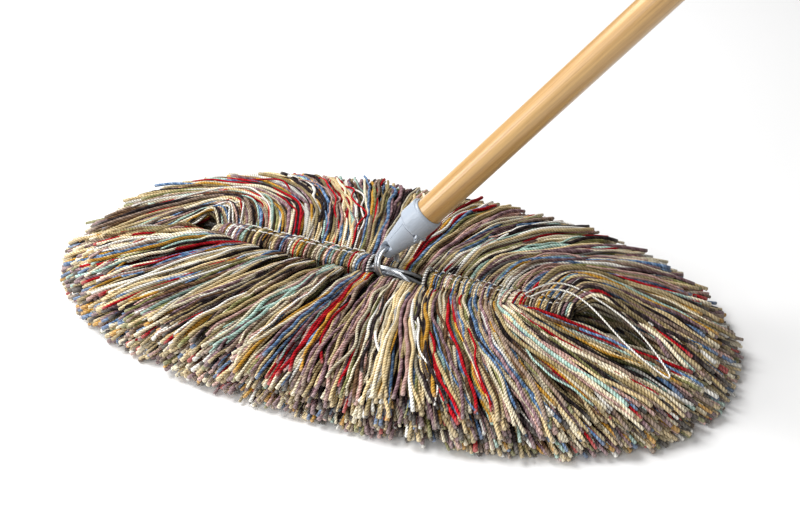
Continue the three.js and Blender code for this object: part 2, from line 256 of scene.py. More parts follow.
def cloth_material(name, color):
    """A plain weave of unbleached cloth."""
    s = Shader(name)
    where = s.place()
    threads = {"Vector": where, "Scale": 420}
    warp, weft = (s.put("TexWave", threads, bands_direction=axis).outputs["Fac"] for axis in "XY")
    weave = s.math("MULTIPLY", warp, weft)
    slubs = s.noise(s.stretch(where, (40, 600, 40)), 1.0)
    body = s.mix(s.ramp(slubs, 0.3, 0.7), darker(color, 0.8), color)
    s.feed(
        s.surface,
        {
            "Base Color": s.mix(s.math("MULTIPLY", weave, 0.4), body, [0.9, 0.87, 0.8, 1]),
            "Roughness": 0.9,
            "Sheen Weight": 0.3,
        },
    )
    s.bump(weave, 0.6, 0.3 * MM)
    return s.material


def pole_frame():
    """The corner of the pole's box by its lower end, and the directions along, across and over the pole."""
    low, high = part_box("pole")
    along = (high - low).normalized()
    across = along.cross(Vector((0, 0, 1))).normalized()
    return low, along, across, along.cross(across)


def along_pole(s):
    """Coordinates that run across, across and along the pole, for grain that follows it."""
    corner, along, across, over = pole_frame()
    from_corner = s.put("VectorMath", {0: s.place(), 1: corner}, operation="SUBTRACT").outputs[0]
    dots = [
        s.put("VectorMath", {0: from_corner, 1: axis}, operation="DOT_PRODUCT").outputs["Value"]
        for axis in (across, over, along)
    ]
    return s.put("CombineXYZ", dict(zip("XYZ", dots))).outputs[0]


def wood_material():
    """Straight-grained pale hardwood under clear lacquer."""
    s = Shader("lacquered_wood")
    where = along_pole(s)
    bands = s.noise(s.stretch(where, (330, 330, 3.0)), 1.0, detail=4, roughness=0.6)
    pores = s.noise(s.stretch(where, (1500, 1500, 24)), 1.0, detail=3, roughness=0.7)
    figure = s.noise(s.stretch(where, (34, 34, 3.0)), 1.0, detail=2)
    body = s.mix(s.ramp(bands, 0.33, 0.68), linear("a87b3e"), linear("cfa462"))
    body = s.mix(s.math("MULTIPLY", s.ramp(figure, 0.42, 0.7), 0.3), body, linear("dcb87c"))
    body = s.mix(s.math("MULTIPLY", s.ramp(pores, 0.56, 0.75), 0.55), body, linear("96642c"))
    s.feed(
        s.surface,
        {
            "Base Color": body,
            "Roughness": s.ramp(pores, -1.5, 4.0),
            "Coat Weight": 1.0,
            "Coat Roughness": 0.33,
        },
    )
    s.bump(pores, 0.12, 0.2 * MM)
    return s.material


def plastic_material():
    """Satin moulded plastic with a faint orange peel and light scuffs."""
    s = Shader("socket_plastic")
    where = s.place()
    peel = s.noise(where, 700, detail=2)
    scuffs = s.noise(s.stretch(where, (300, 90, 500)), 1.0, detail=4)
    cloud = s.noise(where, 30, detail=2)
    s.feed(
        s.surface,
        {
            "Base Color": s.mix(s.ramp(cloud, 0.3, 0.7), linear("a3adb9"), linear("adb6c2")),
            "Roughness": s.ramp(scuffs, 0.35, 0.7, 0.3, 0.46),
            "Subsurface Weight": 0.04,
            "Subsurface Radius": [2 * MM, 2 * MM, 2 * MM],
        },
    )
    s.bump(peel, 0.06, 0.1 * MM)
    return s.material


def steel_material():
    """Bright plated wire with drawing lines."""
    s = Shader("bright_wire")
    drawn = s.noise(s.stretch(s.place(), (900, 120, 120)), 1.0, detail=3)
    s.feed(
        s.surface,
        {
            "Base Color": s.mix(drawn, linear("b4b9c0"), linear("dcdfe3")),
            "Metallic": 1.0,
            "Roughness": s.ramp(drawn, 0.0, 1.0, 0.36, 0.5),
        },
    )
    s.bump(drawn, 0.08, 0.1 * MM)
    return s.material


# ---- Strands: closed tubes along smooth paths ----
def smoothstep(x, low, high):
    t = np.clip((x - low) / (high - low), 0, 1)
    return t * t * (3 - 2 * t)


def unit(vectors):
    """Rows of vectors (strands, steps, axes), each made one long."""
    return vectors / (np.linalg.norm(vectors, axis=2, keepdims=True) + 1e-12)


END_BULGE = 0.4  # how far the point in the middle of a tube's end stands out, in radii


def tube_points(paths, radii, sides):
    """Corners of the tubes: a ring at every step, then the middles of the first and last end."""
    n, steps = radii.shape
    along = unit(np.gradient(paths, axis=1))
    across = unit(np.cross(along, (0.0, 0.0, 1.0)))
    over = np.cross(across, along)
    angle = np.arange(sides) * 2 * math.pi / sides
    ring = across[:, :, None] * np.cos(angle)[:, None] + over[:, :, None] * np.sin(angle)[:, None]
    rings = paths[:, :, None] + ring * radii[:, :, None, None]
    first = paths[:, 0] - along[:, 0] * radii[:, :1] * END_BULGE
    last = paths[:, -1] + along[:, -1] * radii[:, -1:] * END_BULGE
    return np.concatenate([rings.reshape(n, steps * sides, 3), first[:, None], last[:, None]], axis=1)


def side_grid(steps, sides):
    """The step and the side of every face along one tube."""
    grid = np.meshgrid(np.arange(steps - 1), np.arange(sides), indexing="ij")
    return grid[0].ravel(), grid[1].ravel()


def tube_faces(steps, sides):
    """The corners of one tube's faces, and how many each face has: quads along it, triangles on its ends."""
    step, j = side_grid(steps, sides)
    a = step * sides + j
    b = step * sides + (j + 1) % sides
    quads = np.stack([a, b, b + sides, a + sides], axis=1)
    j = np.arange(sides)
    after = (j + 1) % sides
    ring = (steps - 1) * sides
    first = np.stack([after, j, np.full(sides, steps * sides)], axis=1)
    last = np.stack([ring + j, ring + after, np.full(sides, steps * sides + 1)], axis=1)
    corners = np.concatenate([quads.ravel(), first.ravel(), last.ravel()])
    return corners, np.concatenate([np.full(len(quads), 4), np.full(2 * sides, 3)])


def tube_uvs(paths, sides):
    """For every corner of every face, how far along the strand it lies, and its share of the way round."""
    n, steps = paths.shape[:2]
    walked = np.cumsum(np.linalg.norm(np.diff(paths, axis=1), axis=2), axis=1)
    length = np.concatenate([np.zeros((n, 1)), walked], axis=1)
    step, j = side_grid(steps, sides)
    u = np.stack([length[:, step], length[:, step], length[:, step + 1], length[:, step + 1]], axis=2)
    v = np.stack([j, j + 1, j + 1, j], axis=1) / sides
    parts = [np.stack([u, np.broadcast_to(v, u.shape)], axis=3)]
    j = np.arange(sides)
    ends = (0.0, (j + 1, j, j + 0.5)), (length[:, -1:, None], (j, j + 1, j + 0.5))
    for u, around in ends:
        pair = (u, np.stack(around, axis=1) / sides)
        parts.append(np.stack([np.broadcast_to(values, (n, sides, 3)) for values in pair], axis=3))
    return np.concatenate([part.reshape(n, -1, 2) for part in parts], axis=1)


class Strands:
    """Collects tubes of one colour and makes one mesh of them."""

    def __init__(self):
        self.points, self.faces, self.corners, self.uvs, self.tones, self.tips = [], [], [], [], [], []
        self.count = 0

    def add(self, paths, radii, tones, tips, sides):
        """paths is (strands, steps, 3), and radii, tones and tips are (strands, steps)."""
        n, steps = radii.shape
        if not n:
            return
        points = tube_points(paths, radii, sides)
        corners, sizes = tube_faces(steps, sides)
        offset = self.count + np.arange(n)[:, None] * points.shape[1]
        self.points.append(points.reshape(-1, 3))
        self.corners.append((corners[None] + offset).ravel())
        self.faces.append(np.tile(sizes, n))
        self.uvs.append(tube_uvs(paths, sides).reshape(-1, 2))
        for kept, values in ((self.tones, tones), (self.tips, tips)):
            rows = np.concatenate([np.repeat(values, sides, axis=1), values[:, :1], values[:, -1:]], axis=1)
            kept.append(rows.ravel())
        self.count += n * points.shape[1]

    def build(self, name):
        mesh = bpy.data.meshes.new(name)
        points = np.concatenate(self.points).astype(np.float32)
        corners = np.concatenate(self.corners).astype(np.int32)
        sizes = np.concatenate(self.faces).astype(np.int32)
        mesh.vertices.add(len(points))
        mesh.vertices.foreach_set("co", points.ravel())
        mesh.loops.add(len(corners))
        mesh.loops.foreach_set("vertex_index", corners)
        mesh.polygons.add(len(sizes))
        mesh.polygons.foreach_set("loop_start", np.concatenate([[0], np.cumsum(sizes)[:-1]]).astype(np.int32))
        mesh.polygons.foreach_set("use_smooth", np.ones(len(sizes), bool))
        uvs = np.concatenate(self.uvs).astype(np.float32)
        mesh.uv_layers.new(name="strand").data.foreach_set("uv", uvs.ravel())
        # tone holds each strand's tone, with any painted shade multiplied in.
        for label, kept in (("tone", self.tones), ("tip", self.tips)):
            values = np.concatenate(kept).astype(np.float32)
            mesh.attributes.new(label, "FLOAT", "POINT").data.foreach_set("value", values)
        mesh.update(calc_edges=True)
        mesh.validate()
        return add_object(name, mesh)


# ---- The yarn's colours, and how much of the head each takes ----
# Each family: the colour of two plies, the colour of the third, and its share of the head.
YARN_COLORS = {
    "beige": ("d9c294", "e8d6ae", 0.15),
    "khaki": ("a9966c", "c0ae86", 0.08),
    "cream": ("ece0c2", "f6efdc", 0.14),
    "white": ("f7f6f0", "fbfaf6", 0.06),
    "taupe": ("937e70", "b8a394", 0.08),
    "mauve": ("83656d", "b89ba0", 0.12),
    "charcoal": ("2a2325", "4a3f42", 0.13),
    "brown": ("5f4633", "8a6c50", 0.05),
    "olive": ("8b8a58", "b3b080", 0.055),
    "denim": ("54749f", "9db8d8", 0.05),
    "aqua": ("a6cac0", "d3e6de", 0.03),
    "red": ("b0121f", "cc2a34", 0.035),
    "gold": ("cf9836", "e2b660", 0.045),
    "pink": ("c79f97", "e0c2ba", 0.045),
}


# ---- Where the strands go ----
def oval(angle):
    """The rim of the head at these angles."""
    c, s = np.cos(angle), np.sin(angle)
    r = (np.abs(c) ** OVAL_POWER + np.abs(s) ** OVAL_POWER) ** (-1 / OVAL_POWER)
    return np.stack([HALF_LENGTH * r * c, HALF_WIDTH * r * s], axis=-1)


RIM_ANGLES = np.linspace(0, math.pi, 721)
rim_steps = np.linalg.norm(np.diff(oval(RIM_ANGLES), axis=0), axis=1)
RIM_WALKED = np.concatenate([[0], np.cumsum(rim_steps)]) / rim_steps.sum()  # shares of the way round the back


def rim_point(share):
    """The rim point a given share of the way from the right end to the left end, over the back.

    A share below 0 or above 1 carries on past the end and round to the front.
    """
    angle = np.interp(np.abs(share), RIM_WALKED, RIM_ANGLES)
    angle = np.where(share > 1, math.pi + np.interp(share - 1, RIM_WALKED, RIM_ANGLES), angle)
    point = oval(angle)
    point[..., 1] *= np.where(share < 0, -1, 1)
    return point


TUFT = 9 * MM  # strands are sewn on in tufts this wide
BUNCH = 27 * MM  # and on the left half the seam draws three tufts together at a time
MOST_TUFTS, MOST_PATCHES = 200, 200  # more than there are along the spine
BUNCH_SPREAD, TUFT_SPREAD = 0.5, 0.72  # what the seam leaves of the distance from the middle of each
CROWD, CROWD_SPREAD = 0.58, 0.42  # past this share of the right half, front strands come out closer together
tuft_noise = rng.normal(size=(2, MOST_TUFTS, 4))
# Strands that cross the ridge: the arch they make, how flat it is, its turn, and the steps along it.
ARCH_RADIUS, ARCH_FLAT = RIDGE_HALF_WIDTH - 4.0 * MM, 0.8
ARCH_FROM, ARCH_TO = math.radians(165), math.radians(20)
RIDGE_STEPS = 7
FOOT = 8.5 * MM  # how far from the middle the strands come out from under the ridge
# Where on the rim, as a share of the way along its back, the back strands end and the front ones begin: they
# carry on past both tips of the head and a little round to the front.
SEAM_RIGHT, SEAM_LEFT = -0.038, 1.05

# How far out the handles of a strand's curve lie, by its distance from the spine's end: the least, the share
# of that distance which is added, and the most.
BACK_FIRST, BACK_SECOND = (16 * MM, 0.9, 56 * MM), (28 * MM, 0.85, 84 * MM)
FRONT_LEFT, FRONT_RIGHT = (16 * MM, 0.5, 52 * MM), (30 * MM, 0.5, 52 * MM)
SECOND_BACK, SECOND_FRONT = 0.74, 0.72  # how far out the second lies, as a share of the strand's own width
# How far along the strand's way each handle lies, as a share: at the mouth, and what the ends add to it.
COMB_BACK, COMB_LEFT, COMB_RIGHT = (0.03, 0.14), (0.06, 0.22), (0.05, 0)
LEAN, LEAN_BACK, LEAN_FRONT = 0.60, -0.27, -0.05
OWN_SHIFT, TUFT_SHIFT = 0.006, 0.008  # how unevenly strands and tufts spread along the rim, as shares of it

# The back strands of the left end curl round like a lock of hair. Against how far along the half spine a
# strand starts: the heights of the curve's two handles across the head in millimetres, and how far along it
# the second one lies.
CURL_STARTS = (0.25, 0.5, 0.75, 1.0)
CURL_FIRST = (52, 65, 74, 24)
CURL_SECOND = (110, 116, 78, 12)
CURL_LEAN = (0.66, 0.44, 0.58, 0.42)
CURL_CARRY = 0.10  # how much farther round the rim the curled strands reach

# Heights of the pile's two faces in millimetres, from the foot of the ridge (0) to the rim (1) and past it.
TOP_KNOTS = (0.0, 0.08, 0.22, 0.4, 0.6, 0.78, 0.9, 1.0, 1.1)
TOP_HEIGHTS = (33, 38, 42, 40, 37, 32, 26.5, 20, 13)
BOTTOM_KNOTS = (0.0, 0.33, 0.5, 0.8, 1.0, 1.1)
BOTTOM_HEIGHTS = (24.6, 24.4, 20, 11, 3.2, 2.6)
LOWEST = 2.3 * MM  # of a strand's middle line
HUMP_RIGHT, HUMP_LEFT = 9 * MM, 6 * MM  # how much higher the back strands of each end arch
DIP, DIP_WIDTH = 5 * MM, 46 * MM  # room beside the mouth for the socket when the pole lies over
DIP_BEGINS, DIP_ENDS = (0.02, 0.12), (0.36, 0.62)  # where along a strand

# How a strand strays from its curve: waves along it, and how far each kind swings it sideways.
SWINGS = ((1.2, 2.3 * MM), (2.7, 1.0 * MM), (6.0, 0.35 * MM))
TIP_BEND = 3.0 * MM
TUFT_LIFT, OWN_LIFT = 1.3 * MM, 1.2 * MM
LIFT_WAVES, LIFT_SWING = 1.7, 0.9 * MM

# A strand's tone, on a scale from 0 to 1, and its radius in millimetres: the mean, the spread and the limits.
TONE, TONE_SPREAD, TONE_LIMITS = 0.70, 0.13, (0.3, 1.0)
RADIUS, RADIUS_SPREAD, RADIUS_LIMITS = 1.42, 0.22, (0.8, 1.95)
AT_ROOT, AT_TIP = 0.74, 1.12  # its radius where it is sewn and at its cut end, as shares of that
# Where a covered strand's painted shade fades out.
UNCOVERED = (0.76, 0.94)  # between these shares of its length it comes out from under the strands above
TIP_FROM = 0.965  # from here it is pale
PATCH, PATCH_SHARE = 2.6 * MM, 0.25  # so many strands this close together take the same colour
BACK_PATCH = 500  # number of the first patch at the back


def tuft_of(root):
    return np.clip(np.floor((root + SPINE_HALF) / TUFT).astype(int), 0, MOST_TUFTS - 1)


def top_height(u):
    return np.interp(u, TOP_KNOTS, np.array(TOP_HEIGHTS) * MM)


def bottom_height(u):
    return np.interp(u, BOTTOM_KNOTS, np.array(BOTTOM_HEIGHTS) * MM)


def gather(root, side):
    """Where along the spine a strand comes out: the seam draws the strands together."""
    bunched = (root < 0) & (side < 0)
    width = np.where(bunched, BUNCH, TUFT)
    centre = (np.floor(root / width) + 0.5) * width
    pulled = centre + (root - centre) * np.where(bunched, BUNCH_SPREAD, TUFT_SPREAD)
    crowd = CROWD * SPINE_HALF
    short = np.where(pulled > crowd, crowd + (pulled - crowd) * CROWD_SPREAD, pulled)
    return np.where(side < 0, short, pulled)


def far_out(from_end, least, share, most):
    """Grows with the distance from the spine's end, up to a limit."""
    return np.minimum(least + share * from_end, most)


def strand_plan(root, side, depth, reach, t, noise):
    """The strands seen from above, each a curve with two handles, from the spine to its place on the rim."""
    n = len(root)
    q = np.clip(root / SPINE_HALF, -1, 1)
    away = np.abs(q)
    from_end = (1 - away) * SPINE_HALF
    near_end = away**4
    back = side > 0
    curled = back & (q < 0)

    # Which part of the rim the strand reaches.
    run = 0.5 - 0.5 * np.sign(q) * away**0.92
    right_limit = np.where(back, SEAM_RIGHT, -SEAM_RIGHT)
    left_limit = np.where(back, SEAM_LEFT, 2 - SEAM_LEFT)
    share = right_limit + run * (left_limit - right_limit)
    share = share + np.where(curled, CURL_CARRY * smoothstep(away, 0.5, 0.86), 0)
    share = share + rng.normal(size=n) * OWN_SHIFT + noise[:, 0] * TUFT_SHIFT
    rim = rim_point(share)
    end = np.stack([rim[:, 0], rim[:, 1] * side], axis=1) * reach[:, None]
    end_width = np.abs(end[:, 1])

    # The handle by the spine: how far out it lies, and how far along.
    out = gather(root, side)
    calm = 1 - (0.6 + 0.3 * near_end) * depth  # strands deep in the pile curve less
    front = np.where(q > 0, far_out(from_end, *FRONT_RIGHT), far_out(from_end, *FRONT_LEFT))
    first = np.where(back, far_out(from_end, *BACK_FIRST), front) * calm + 4 * MM * noise[:, 1]
    curl = np.interp(away, CURL_STARTS, CURL_FIRST) * MM * calm + 3 * MM * noise[:, 1]
    first = np.where(curled, curl, first)
    comb = np.where(q > 0, COMB_RIGHT[0] + COMB_RIGHT[1] * away, COMB_LEFT[0] + COMB_LEFT[1] * away)
    comb = np.where(back, COMB_BACK[0] + COMB_BACK[1] * near_end, comb)

    # The handle by the rim.
    swell = far_out(from_end, *BACK_SECOND) * calm
    second = np.where(back, np.maximum(end_width * SECOND_BACK, swell), end_width * SECOND_FRONT)
    curl = np.interp(away, CURL_STARTS, CURL_SECOND) * MM * calm + (1 - calm) * 0.7 * end_width
    second = np.where(curled, curl, second)
    lean = LEAN + np.where(back, LEAN_BACK, LEAN_FRONT) * near_end
    lean = np.where(curled, np.interp(away, CURL_STARTS, CURL_LEAN), lean) + 0.03 * noise[:, 3]

    ahead = end[:, 0] - out
    handles = (
        np.stack([out, side * FOOT * (1 - 0.4 * near_end)], axis=1),
        np.stack([out + comb * ahead, side * first], axis=1),
        np.stack([out + lean * ahead, side * second + 3 * MM * noise[:, 2]], axis=1),
        end,
    )
    weights = ((1 - t) ** 3, 3 * (1 - t) ** 2 * t, 3 * (1 - t) * t**2, t**3)
    return sum(w[:, :, None] * p[:, None] for w, p in zip(weights, handles))


def stray(plan, t, wave):
    """How far sideways each strand strays from its plan. wave is how strongly."""
    n = len(t)
    heading = unit(np.gradient(plan, axis=1))
    sideways = np.stack([-heading[:, :, 1], heading[:, :, 0]], axis=2)
    swing = np.zeros(t.shape)
    for waves, size in SWINGS:
        phase = rng.uniform(0, 2 * math.pi, (n, 1))
        swing += size * rng.normal(size=(n, 1)) * np.sin(2 * math.pi * waves * t + phase)
    tip_bend = rng.normal(size=(n, 1)) * TIP_BEND * smoothstep(t, 0.82, 1.05)
    return sideways * (swing * wave * smoothstep(t, 0.02, 0.45) + tip_bend)[:, :, None]


def strand_height(root, side, depth, reach, t, noise):
    """Heights along the strands, between the pile's two faces by their depth in it, and never too low."""
    n = len(root)
    away = np.minimum(np.abs(root / SPINE_HALF), 1)
    back = side > 0
    u = t * reach[:, None]
    z = top_height(u) * (1 - depth[:, None]) + bottom_height(u) * depth[:, None]
    hump = np.where(back, np.where(root > 0, HUMP_RIGHT, HUMP_LEFT), 0) * smoothstep(away, 0.5, 0.9)
    z += hump[:, None] * np.sin(math.pi * np.clip(t * 1.5, 0, 1)) * (1 - depth[:, None])
    beside_mouth = np.exp(-(((root - MOUTH_MIDDLE) / DIP_WIDTH) ** 2))
    dip = DIP * smoothstep(t, *DIP_BEGINS) * (1 - smoothstep(t, *DIP_ENDS))
    z -= (beside_mouth * (1 - depth))[:, None] * dip
    z += (rng.normal(size=(n, 1)) * OWN_LIFT + noise[:, 1:2] * TUFT_LIFT) * smoothstep(t, 0.03, 0.3)
    swing = LIFT_SWING * rng.normal(size=(n, 1))
    z += swing * np.sin(2 * math.pi * LIFT_WAVES * t + rng.uniform(0, 6.28, (n, 1)))
    return np.maximum(z, LOWEST)


def strand_paths(root, side, depth, reach, start, steps, wave=1.0):
    """Paths that leave the spine at root, towards side (+1 back, -1 front).

    depth is 0 for the top of the pile and 1 for the floor, reach is the share of the way to the rim where a
    strand ends, and start the share where it begins to be made, for strands whose root is hidden.
    """
    noise = tuft_noise[(side > 0).astype(int), tuft_of(root)]
    t = start[:, None] + (1 - start[:, None]) * np.linspace(0, 1, steps)[None]
    plan = strand_plan(root, side, depth, reach, t, noise)
    plan += stray(plan, t, wave)
    z = strand_height(root, side, depth, reach, t, noise)
    return np.concatenate([plan, z[:, :, None]], axis=2), t


def over_ridge(paths, root, side, crest):
    """Puts a half turn over the ridge before each path, so that the strand starts on its far side."""
    angle = np.linspace(ARCH_FROM, ARCH_TO, RIDGE_STEPS)
    y = side[:, None] * ARCH_RADIUS * np.cos(angle)[None]
    z = crest[:, None] + ARCH_RADIUS * ARCH_FLAT * (np.sin(angle)[None] - 1)
    out = paths[:, :1, 0]
    x = out + np.clip(root[:, None] - out, -5 * MM, 5 * MM) * np.linspace(1, 0, RIDGE_STEPS)[None]
    return np.concatenate([np.stack([x, y, z], axis=2), paths[:, 1:]], axis=1)


families = {name: Strands() for name in YARN_COLORS}
names = list(YARN_COLORS)
shares = np.array([YARN_COLORS[n][2] for n in names])
shares = shares / shares.sum()


def pick_colors(root, side):
    """A colour for each strand: neighbours in a tuft often share one."""
    n = len(root)
    patch = np.floor((root + SPINE_HALF) / PATCH + (side > 0) * BACK_PATCH).astype(int)
    table = rng.choice(len(names), size=patch.max() + 2, p=shares)
    own = rng.choice(len(names), size=n, p=shares)
    return np.where(rng.uniform(size=n) < PATCH_SHARE, table[patch], own)


def add_by_color(colors, paths, radii, tones, tips, sides):
    """Adds each strand to the family that its number in colors stands for."""
    for k, name in enumerate(names):
        mine = colors == k
        families[name].add(paths[mine], radii[mine], tones[mine], tips[mine], sides)


def deal(paths, radii, t, root, side, covered_shade, sides, colors=None):
    """Shares strands out among the colour families.

    The share given for the pile's shade is how much darker the covered part of a strand is painted: painted
    shade, where the strands above shade it.
    """
    colors = pick_colors(root, side) if colors is None else colors
    tone = np.clip(rng.normal(TONE, TONE_SPREAD, (len(root), 1)), *TONE_LIMITS)
    # Painted shade: the part of a strand that lies under other strands is darkened, fading out where it comes
    # out from under them.
    covered = covered_shade * (1 - smoothstep(t, *UNCOVERED))
    add_by_color(colors, paths, radii, tone * (1 - covered), smoothstep(t, TIP_FROM, 1.0), sides)


def thickness(t):
    """Radius along a strand, squeezed where it is sewn and a little open at its cut end."""
    own = rng.normal(RADIUS, RADIUS_SPREAD, (len(t), 1)).clip(*RADIUS_LIMITS) * MM
    squeeze = AT_ROOT + (1 - AT_ROOT) * smoothstep(t, 0.02, 0.2)
    return own * squeeze * (1 + (AT_TIP - 1) * smoothstep(t, 0.96, 1.0))


def even_roots(count, low=-SPINE_HALF, high=SPINE_HALF):
    """Places along the spine, spaced evenly apart from a random half step."""
    return low + (np.arange(count) + 0.5 + rng.uniform(-0.5, 0.5, count)) * (high - low) / count


# Layers from the top of the pile down: depth, reach, where they begin, number per side, steps and sides, and
# how much darker their covered part is painted, as painted shade.
LAYERS = [
    (0.00, 0.895, 0.0, 195, 34, 7, 0.0),
    (0.07, 0.915, 0.0, 205, 32, 6, 0.25),
    (0.15, 0.93, 0.0, 215, 28, 6, 0.55),
    (0.24, 0.94, 0.0, 225, 22, 6, 0.75),
    (0.34, 0.95, 0.0, 235, 20, 6, 0.85),
    (0.44, 0.957, 0.30, 245, 15, 5, 0.85),
    (0.55, 0.963, 0.50, 255, 12, 5, 0.85),
    (0.66, 0.967, 0.56, 265, 11, 5, 0.85),
    (0.77, 0.97, 0.60, 270, 11, 5, 0.85),
    (0.88, 0.972, 0.62, 275, 11, 5, 0.85),
    (0.97, 0.972, 0.62, 275, 11, 5, 0.85),
]
DEPTH_SPREAD, REACH_SPREAD, LONGEST_REACH = 0.03, 0.032, 1.01
OVER_RIGHT = 4  # this many of the top layers start by crossing the right half of the spine
CREST_DROP, CREST_STEP, CREST_SPREAD = 5 * MM, 2.4 * MM, 0.6 * MM  # their crests, under the ridge's top


def grow_layers():
    for k, (depth, reach, start, count, steps, sides, covered_shade) in enumerate(LAYERS):
        for sign in (-1, 1):
            root = even_roots(count)
            side = np.full(count, float(sign))
            depths = np.clip(depth + rng.normal(size=count) * DEPTH_SPREAD, 0, 1)
            reaches = np.minimum(reach + rng.normal(size=count) * REACH_SPREAD, LONGEST_REACH)
            # Near the ends every strand is made whole, because it shows in the hollows there.
            starts = np.where(np.abs(root) > 0.74 * SPINE_HALF, 0.0, start)
            paths, t = strand_paths(root, side, depths, reaches, starts, steps)
            crosses = (root > MOUTH_RIGHT) & (k < OVER_RIGHT)
            plain = ~crosses
            radii = thickness(t[plain])
            deal(paths[plain], radii, t[plain], root[plain], side[plain], covered_shade, sides)
            if not crosses.any():
                continue
            n = crosses.sum()
            crest = RIDGE_TOP - CREST_DROP - k * CREST_STEP + rng.normal(size=n) * CREST_SPREAD
            crossing = over_ridge(paths[crosses], root[crosses], side[crosses], crest)
            t = np.concatenate([np.zeros((n, RIDGE_STEPS - 1)), t[crosses]], axis=1)
            deal(crossing, thickness(t), t, root[crosses], side[crosses], covered_shade, sides)


# The inner level's darkening is painted shade, under the outer level.
WRAPS = ((135, 0.0), (120, 0.5))  # for each level from the outside in, how many strands and how dull
WRAP_STEPS = 15
WRAP_RADIUS, WRAP_LEVEL, WRAP_BULGE = 9.3 * MM, 1.6 * MM, 1.5 * MM
WRAP_MIDDLE = RIDGE_TOP - 12.6 * MM
WRAP_TAPER = (-4 * MM, 26 * MM)  # the ridge grows to its full size between these, from the spine's left end
WRAP_FROM, WRAP_TO = math.radians(-38), math.radians(218)  # the turn that a strand makes, from the back
WRAP_SLANT, WRAP_PINCH = 2.4 * MM, 1.2 * MM  # how far it leans along the spine, and how far tufts close up
WRAP_PATCH = 2.9 * MM  # neighbours this close often share a colour
WRAP_STRAND = 1.2 * MM


def wrap_ridge():
    """The left half of the spine: tufts wrapped right round a raised core."""
    for level, (count, inner_shade) in enumerate(WRAPS):
        root = even_roots(count, -SPINE_HALF, MOUTH_LEFT - 1.5 * MM)
        in_tuft = (root / TUFT) % 1
        bulge = WRAP_BULGE * np.sqrt(np.abs(np.sin(math.pi * in_tuft)))
        taper = 0.55 + 0.45 * smoothstep(root + SPINE_HALF, *WRAP_TAPER)
        radius = (WRAP_RADIUS - level * WRAP_LEVEL + bulge + rng.normal(size=count) * 0.55 * MM) * taper
        angle = np.linspace(WRAP_FROM, WRAP_TO, WRAP_STEPS)[None]
        slant = (WRAP_SLANT + rng.normal(size=(count, 1)) * 1.1 * MM) * np.cos(angle)
        pinch = (in_tuft - 0.5)[:, None] * WRAP_PINCH * (1 - np.sin(angle))
        x = root[:, None] + slant - pinch
        y = radius[:, None] * np.cos(angle)
        z = WRAP_MIDDLE + radius[:, None] * np.sin(angle) * 1.02
        patch = np.floor((root + SPINE_HALF) / WRAP_PATCH).astype(int)
        colors = rng.choice(len(names), size=MOST_PATCHES, p=shares)[patch]
        swap = rng.uniform(size=count) < 0.4
        colors = np.where(swap, rng.choice(len(names), size=count, p=shares), colors)
        radii = np.full(x.shape, WRAP_STRAND) * (1 + 0.12 * rng.normal(size=(count, 1)))
        # Painted shade: the inner level is darker, under the outer one.
        tones = np.clip(rng.normal(0.60, 0.16, (count, 1)), 0.25, 1) * (1 - inner_shade) * np.ones(x.shape)
        # Painted shade: each turn is darker on its lower side, where it goes down towards the pile.
        tones = tones * (0.55 + 0.45 * smoothstep(np.sin(angle), -0.3, 0.5))
        add_by_color(colors, np.stack([x, y, z], axis=2), radii, tones, np.zeros(x.shape), 6)


STRAYS, STRAY_STEPS = 70, 34
STRAY_RADIUS, HANGING_RADIUS = 0.95 * MM, 1.35 * MM
STRAY_COLORS = ("white", "cream", "aqua", "pink", "red", "white")
# Five strands that hang from the front of the mouth: where along it in millimetres, and their colours.
HANGING = {-6.0: "gold", -3.5: "red", 2.0: "beige", 9.0: "mauve", 16.0: "charcoal"}


def grow_strays():
    """A few long thin strands that lie loose on top, and the ones that hang from the mouth."""
    root = rng.uniform(-SPINE_HALF, SPINE_HALF, STRAYS)
    root = root[(root < MOUTH_LEFT) | (root > MOUTH_RIGHT)]
    n = len(root)
    side = rng.choice([-1.0, 1.0], n)
    depth, reach, start = np.full(n, -0.04), rng.uniform(0.72, 0.93, n), np.full(n, 0.05)
    paths, t = strand_paths(root, side, depth, reach, start, STRAY_STEPS, 1.4)
    colors = rng.choice([names.index(color) for color in STRAY_COLORS], n)
    deal(paths, np.full(t.shape, STRAY_RADIUS), t, root, side, 0.0, 5, colors)

    root = np.array(list(HANGING)) * MM
    n = len(root)
    side = np.full(n, -1.0)
    paths, t = strand_paths(root, side, np.full(n, -0.06), np.full(n, 0.8), np.zeros(n), STRAY_STEPS, 0.8)
    colors = np.array([names.index(color) for color in HANGING.values()])
    deal(paths, np.full(t.shape, HANGING_RADIUS), t, root, side, 0.0, 6, colors)


LOOP_RADIUS = 0.75 * MM
# The loose loop's route over the right end, in millimetres.
LOOP_ROUTE = [
    (128, -2, 44),
    (140, 16, 50),
    (156, 20, 50),
    (172, 16, 49),
    (192, 6, 47),
    (208, 0, 45),
    (226, -12, 42),
    (244, -29, 38),
    (258, -44, 34),
    (265, -51, 31.5),
    (262, -55, 31),
    (250, -48, 35),
    (228, -40, 39),
    (210, -24, 43),
    (191, -7, 46),
    (173, 6, 49.5),
    (155, 11, 50),
    (142, 4, 49),
    (134, -6, 45),
]


def grow_loop():
    """One long strand that was never cut: it arches off the spine's right end and folds back on itself."""
    route = np.array(LOOP_ROUTE) * MM
    knots = np.linspace(0, 1, len(route))
    fine = np.linspace(0, 1, 90)
    path = np.stack([np.interp(fine, knots, route[:, k]) for k in range(3)], axis=1)
    for _ in range(12):  # round the corners
        path[1:-1] += (path[:-2] + path[2:] - 2 * path[1:-1]) * 0.5
    ones = np.ones((1, len(path)))
    families["white"].add(path[None], ones * LOOP_RADIUS, ones * 0.8, ones * 0, 6)


SOLE_LEVELS = (1.7 * MM, 4.3 * MM)
SOLE_COUNT, SOLE_STEPS = 250, 16  # strands for each side of each level, and steps along one
SOLE_RADIUS = 1.6 * MM


